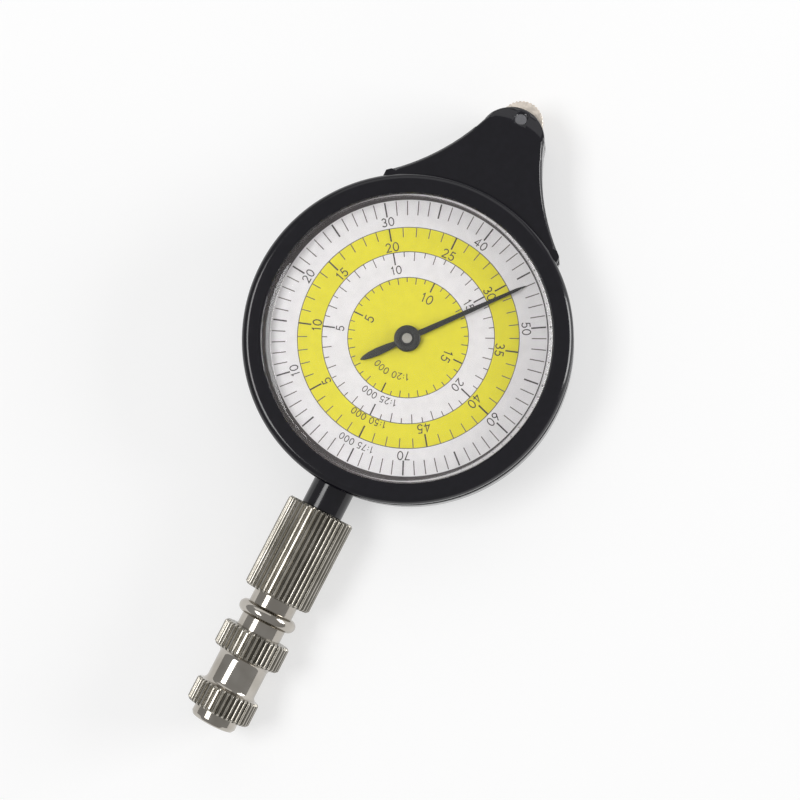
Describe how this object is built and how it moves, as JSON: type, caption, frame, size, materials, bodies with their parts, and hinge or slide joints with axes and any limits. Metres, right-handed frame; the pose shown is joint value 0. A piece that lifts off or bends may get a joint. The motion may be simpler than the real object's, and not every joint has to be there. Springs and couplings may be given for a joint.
{
  "type": "opisometer map measurer",
  "caption": "Hand-held map measurer: a small tracing wheel in a tapered snout drives a hand round a dial with ring scales; round black case and knurled nickel handle.",
  "frame": {"origin": "the dial's centre, on the flat back of the case, which is the face the tool lies on", "axes": "+Z is the way the dial faces, +Y runs from the dial to the tracing wheel, -Y to the handle, +X to the right of the dial"},
  "size_m": [0.0536, 0.1134, 0.012],
  "materials": {
    "case_black": "moulded gloss black",
    "crystal_clear": "clear moulded acrylic",
    "dial_print": "printed satin white",
    "hand_black": "satin black",
    "arbor_steel": "turned",
    "train_brass": "milled",
    "wheel_nickel": "worn nickel plate",
    "axle_steel": "dull turned end",
    "handle_nickel": "polished nickel plate",
    "screw_steel": "zinc grey"
  },
  "bodies": {
    "case": {"back_shell": "case_black", "front_shell": "case_black", "bezel": "case_black", "crystal": "crystal_clear", "dial": "dial_print", "centre_bush": "train_brass", "wheel_axle": "axle_steel", "wheel_washers": "axle_steel", "back_plate": "train_brass", "front_plate": "train_brass", "plate_pillars": "train_brass", "pillar_screws": "screw_steel", "plate_screws": "screw_steel", "case_screws": "screw_steel", "handle_stem": "case_black", "stem_nut": "handle_nickel", "handle_sleeve": "handle_nickel", "handle_tail": "handle_nickel"},
    "hand_train": {"hand": "hand_black", "centre_arbor": "arbor_steel", "centre_gear": "train_brass"},
    "second_wheel": {"second_arbor": "arbor_steel", "second_gear": "train_brass", "second_pinion": "train_brass"},
    "first_wheel": {"first_arbor": "arbor_steel", "first_gear": "train_brass", "first_pinion": "train_brass"},
    "tracer": {"tracing_wheel": "wheel_nickel", "wheel_pinion": "train_brass"}
  },
  "joints": [
    {"name": "hand_turn", "type": "hinge", "parent": "case", "child": "hand_train", "pos_m": [0, 0, 0.0095], "axis": [0, 0, 1], "continuous": true},
    {"name": "second_wheel_turn", "type": "hinge", "parent": "case", "child": "second_wheel", "pos_m": [0, 0.02, 0.005], "axis": [0, 0, 1], "continuous": true},
    {"name": "first_wheel_turn", "type": "hinge", "parent": "case", "child": "first_wheel", "pos_m": [0, 0.0333, 0.005], "axis": [0, 0, 1], "continuous": true},
    {"name": "tracer_roll", "type": "hinge", "parent": "case", "child": "tracer", "pos_m": [0, 0.0401, 0.0059], "axis": [0, 0, 1], "continuous": true}
  ],
  "couplings": [
    {"joint": "second_wheel_turn", "follows": "hand_turn", "ratio": -3.75},
    {"joint": "first_wheel_turn", "follows": "hand_turn", "ratio": 18.75},
    {"joint": "tracer_roll", "follows": "hand_turn", "ratio": -45}
  ]
}
